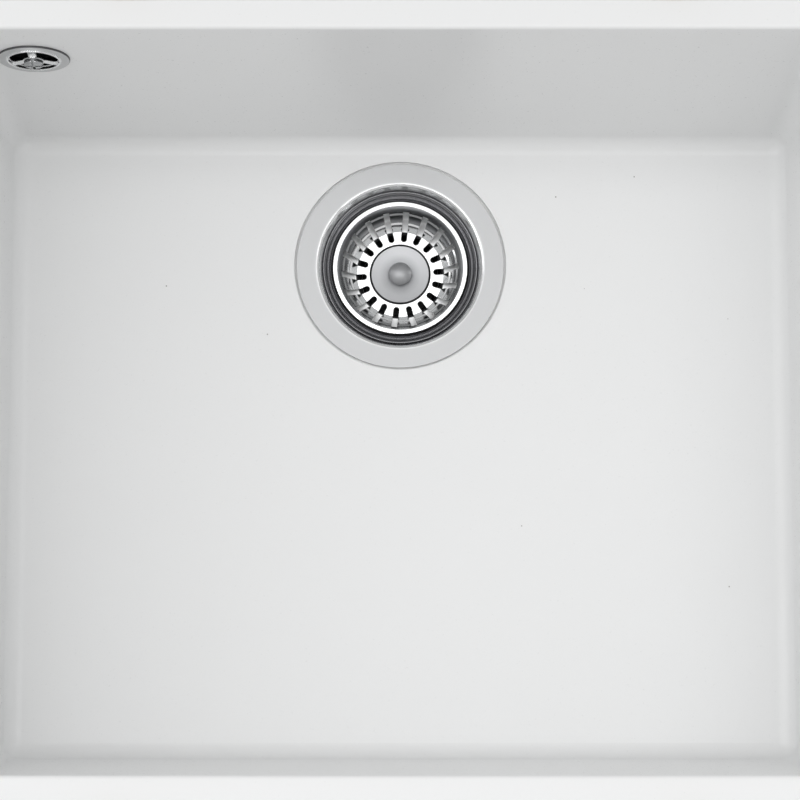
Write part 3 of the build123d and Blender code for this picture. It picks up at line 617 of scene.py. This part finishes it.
# ---- screw threads ----------------------------------------------------------------------------
def thread(name, start, axis, radius, length, pitch, rise, slot, body="sink", sides=40):
    """A helical ridge, flat on top, that stands proud of the solid it lies on by its rise and
    fades out at both ends."""
    axis = Vector(axis).normalized()
    level, up = level_frame(axis)
    built = bmesh.new()
    rows = []
    count = int(sides * (length - pitch) / pitch)
    foot = ridge_foot * pitch
    for step in range(count + 1):
        angle = 2 * math.pi * step / sides
        out = math.cos(angle) * level + math.sin(angle) * up
        fade = min(1.0, 2 * step / sides, 2 * (count - step) / sides)
        along = Vector(start) + axis * (pitch / 2 + step * pitch / sides)
        sunk = along + out * (radius - rise / 2)
        proud = along + out * (radius + rise * fade)
        corners = [
            sunk - axis * foot,
            proud - axis * ridge_crest * pitch,
            proud + axis * ridge_crest * pitch,
            sunk + axis * foot,
        ]
        rows.append([built.verts.new(corner) for corner in corners])
    for a, b in zip(rows, rows[1:]):
        for k in range(3):
            built.faces.new((a[k], a[k + 1], b[k + 1], b[k]))
        built.faces.new((a[3], a[0], b[0], b[3]))
    built.faces.new(rows[0])
    built.faces.new(rows[-1][::-1])
    piece = finished_piece(name, built)
    piece.data.materials.append(finishes[slot])
    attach(piece, body)


thread(
    "outlet_thread",
    start=(waste_at[0], waste_at[1], outlet_foot),
    axis=up_axis,
    radius=outlet_thread_radius,
    length=outlet_top - outlet_foot,
    pitch=outlet_pitch,
    rise=outlet_rise,
    slot="white_plastic",
    sides=72,
)
thread(
    "spout_thread",
    start=(hose_route[0][0], hose_route[0][1], spout_nut_top),
    axis=up_axis,
    radius=spout_radius,
    length=spout_thread_top - spout_nut_top,
    pitch=spout_pitch,
    rise=spout_rise,
    slot="white_plastic",
)
thread(
    "inlet_thread",
    start=(inlet_nut_end, waste_at[1], inlet_z),
    axis=right_axis,
    radius=spout_radius,
    length=inlet_thread_start - inlet_nut_end,
    pitch=spout_pitch,
    rise=spout_rise,
    slot="white_plastic",
)
for number, (x, y) in enumerate(stud_places, start=1):
    thread(
        "stud_thread_" + str(number),
        start=(x, y, stud_foot),
        axis=up_axis,
        radius=stud_radius,
        length=stud_nut_foot - stud_foot,
        pitch=stud_pitch,
        rise=stud_rise,
        slot="zinc_steel",
        sides=24,
    )

# ---- floor, light and camera ------------------------------------------------------------------
floor_mesh = bpy.data.meshes.new("floor")
corners = [
    (x * floor_reach, y * floor_reach, floor_level)
    for x, y in ((-1, -1), (1, -1), (1, 1), (-1, 1))
]
floor_mesh.from_pydata(corners, [], [(0, 1, 2, 3)])
floor_mesh.materials.append(new_material("pale_floor", (0.82, 0.82, 0.82), 0.8))
floor = bpy.data.objects.new("floor", floor_mesh)
bpy.context.collection.objects.link(floor)

world = bpy.data.worlds.new("studio")
bpy.context.scene.world = world
world.use_nodes = True
background = world.node_tree.nodes["Background"]
background.inputs["Color"].default_value = (1.0, 1.0, 1.0, 1)
sky = add_node(world, "ShaderNodeTexCoord").outputs["Generated"]
leans = add_node(world, "ShaderNodeSeparateXYZ")
join(world, sky, leans.inputs[0])
overhead = Vector(light_towards).normalized()
towards = vector_math(world, "DOT_PRODUCT", sky, overhead)["Value"]
along = smooth_ramp(world, towards, 0, 1, *light_fade)
strength = light_around
for bright, to_rear, half_width in light_strips:
    off_middle = chain_math(world, "SUBTRACT", leans.outputs["Y"], to_rear)
    aside = chain_math(world, "ABSOLUTE", off_middle)
    across = smooth_ramp(world, aside, bright, 0, 0.0, half_width)
    strip = chain_math(world, "MULTIPLY", across, along)
    strength = chain_math(world, "ADD", strip, strength)
join(world, strength, background.inputs["Strength"])

camera_data = bpy.data.cameras.new("camera")
camera_data.lens = camera_lens
camera_data.shift_y = camera_shift
camera_data.clip_end = camera_reach
camera = bpy.data.objects.new("camera", camera_data)
camera.location = camera_place
camera.rotation_euler = (math.radians(camera_pitch), 0, 0)
bpy.context.collection.objects.link(camera)
bpy.context.scene.camera = camera

bpy.context.scene.view_settings.view_transform = "Standard"
